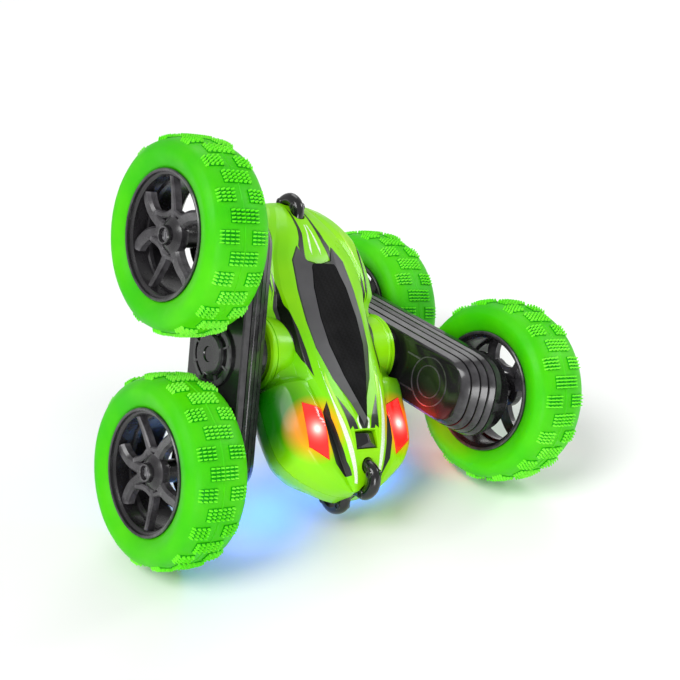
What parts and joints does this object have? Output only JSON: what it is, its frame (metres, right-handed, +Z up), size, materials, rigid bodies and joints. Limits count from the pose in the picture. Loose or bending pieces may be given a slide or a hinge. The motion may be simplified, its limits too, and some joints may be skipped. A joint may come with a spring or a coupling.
{
  "type": "rc stunt car",
  "caption": "Double-sided stunt car: a lens-shaped body between two swing arms that turn without limit, each carrying a pair of geared wheels with fat pimpled tyres.",
  "frame": {"origin": "centre of the bounding box, on the floor that three of its tyres stand on", "axes": "+Z up, -Y the way the car drives (nose), +X the car's left; the right arm is raised and the body leans with it"},
  "size_m": [0.2384, 0.214, 0.2064],
  "materials": {
    "shell": "glossy moulded lime-green plastic with printed stripes",
    "canopy": "polished black plastic",
    "red_lens": "clear red lamp lens, lit from inside",
    "blue_lens": "clear blue lamp lens, lit from inside",
    "tyre": "soft green rubber with pimpled tread pads",
    "rim": "charcoal moulded plastic",
    "arm_plastic": "charcoal moulded plastic, glossy",
    "black_plastic": "black moulded plastic, satin",
    "gear": "natural acetal plastic",
    "steel": "plain steel",
    "motor": "pressed steel can",
    "board": "green solder resist",
    "battery": "blue heat-shrink sleeve"
  },
  "bodies": {
    "chassis": {"upper_shell": "shell", "upper_canopy": "canopy", "upper_nose_block": "black_plastic", "upper_left_lens": "red_lens", "upper_right_lens": "red_lens", "lower_shell": "shell", "battery_hatch": "canopy", "lower_nose_block": "black_plastic", "lower_left_lens": "blue_lens", "lower_right_lens": "blue_lens", "front_bumper": "black_plastic", "rear_bumper": "black_plastic", "frame_plate": "black_plastic", "right_gear_motor": "motor", "left_gear_motor": "motor", "circuit_board": "board", "battery_pack": "battery"},
    "switch": {"power_switch": "black_plastic"},
    "left_arm": {"left_arm_inner_case": "arm_plastic", "left_arm_outer_case": "arm_plastic", "left_pivot_ring": "arm_plastic", "left_front_idler_pin": "steel", "left_rear_idler_pin": "steel"},
    "left_drive": {"left_drive_gear": "gear"},
    "left_front_wheel": {"left_front_tyre": "tyre", "left_front_rim": "rim", "left_front_axle": "steel", "left_front_wheel_gear": "gear", "left_front_wheel_screw": "steel"},
    "left_front_idler": {"left_front_idler_gear": "gear"},
    "left_rear_wheel": {"left_rear_tyre": "tyre", "left_rear_rim": "rim", "left_rear_axle": "steel", "left_rear_wheel_gear": "gear", "left_rear_wheel_screw": "steel"},
    "left_rear_idler": {"left_rear_idler_gear": "gear"},
    "right_arm": {"right_arm_inner_case": "arm_plastic", "right_arm_outer_case": "arm_plastic", "right_pivot_ring": "arm_plastic", "right_front_idler_pin": "steel", "right_rear_idler_pin": "steel"},
    "right_drive": {"right_drive_gear": "gear"},
    "right_front_wheel": {"right_front_tyre": "tyre", "right_front_rim": "rim", "right_front_axle": "steel", "right_front_wheel_gear": "gear", "right_front_wheel_screw": "steel"},
    "right_front_idler": {"right_front_idler_gear": "gear"},
    "right_rear_wheel": {"right_rear_tyre": "tyre", "right_rear_rim": "rim", "right_rear_axle": "steel", "right_rear_wheel_gear": "gear", "right_rear_wheel_screw": "steel"},
    "right_rear_idler": {"right_rear_idler_gear": "gear"}
  },
  "joints": [
    {"name": "left_arm_swing", "type": "hinge", "parent": "chassis", "child": "left_arm", "pos_m": [0.05163, 0, 0.06214], "axis": [0.9489, 0, -0.3155], "continuous": true},
    {"name": "left_front_wheel_spin", "type": "hinge", "parent": "left_arm", "child": "left_front_wheel", "pos_m": [0.08968, -0.058, 0.04949], "axis": [0.9489, 0, -0.3155], "continuous": true},
    {"name": "left_rear_wheel_spin", "type": "hinge", "parent": "left_arm", "child": "left_rear_wheel", "pos_m": [0.08968, 0.058, 0.04949], "axis": [0.9489, 0, -0.3155], "continuous": true},
    {"name": "left_front_idler_spin", "type": "hinge", "parent": "left_arm", "child": "left_front_idler", "pos_m": [0.06491, -0.02772, 0.05773], "axis": [0.9489, 0, -0.3155], "continuous": true},
    {"name": "left_rear_idler_spin", "type": "hinge", "parent": "left_arm", "child": "left_rear_idler", "pos_m": [0.06491, 0.02772, 0.05773], "axis": [0.9489, 0, -0.3155], "continuous": true},
    {"name": "left_drive_spin", "type": "hinge", "parent": "left_arm", "child": "left_drive", "pos_m": [0.06491, 0, 0.05773], "axis": [0.9489, 0, -0.3155], "continuous": true},
    {"name": "right_arm_swing", "type": "hinge", "parent": "chassis", "child": "right_arm", "pos_m": [-0.03378, 0, 0.09053], "axis": [0.9489, 0, -0.3155], "continuous": true},
    {"name": "right_front_wheel_spin", "type": "hinge", "parent": "right_arm", "child": "right_front_wheel", "pos_m": [-0.08968, -0.01275, 0.04949], "axis": [0.9489, 0, -0.3155], "continuous": true},
    {"name": "right_rear_wheel_spin", "type": "hinge", "parent": "right_arm", "child": "right_rear_wheel", "pos_m": [-0.05398, 0.01275, 0.15688], "axis": [0.9489, 0, -0.3155], "continuous": true},
    {"name": "right_front_idler_spin", "type": "hinge", "parent": "right_arm", "child": "right_front_idler", "pos_m": [-0.05559, -0.00609, 0.06929], "axis": [0.9489, 0, -0.3155], "continuous": true},
    {"name": "right_rear_idler_spin", "type": "hinge", "parent": "right_arm", "child": "right_rear_idler", "pos_m": [-0.03853, 0.00609, 0.12061], "axis": [0.9489, 0, -0.3155], "continuous": true},
    {"name": "right_drive_spin", "type": "hinge", "parent": "right_arm", "child": "right_drive", "pos_m": [-0.04706, 0, 0.09495], "axis": [0.9489, 0, -0.3155], "continuous": true},
    {"name": "power_switch_slide", "type": "slide", "parent": "chassis", "child": "switch", "axis": [0.9489, 0, -0.3155], "range_m": [0, 0.003]}
  ],
  "couplings": [
    {"joint": "left_rear_wheel_spin", "follows": "left_front_wheel_spin", "ratio": 1},
    {"joint": "left_front_idler_spin", "follows": "left_front_wheel_spin", "ratio": -1},
    {"joint": "left_rear_idler_spin", "follows": "left_front_wheel_spin", "ratio": -1},
    {"joint": "left_drive_spin", "follows": "left_front_wheel_spin", "ratio": 1.2},
    {"joint": "right_rear_wheel_spin", "follows": "right_front_wheel_spin", "ratio": 1},
    {"joint": "right_front_idler_spin", "follows": "right_front_wheel_spin", "ratio": -1},
    {"joint": "right_rear_idler_spin", "follows": "right_front_wheel_spin", "ratio": -1},
    {"joint": "right_drive_spin", "follows": "right_front_wheel_spin", "ratio": 1.2}
  ]
}
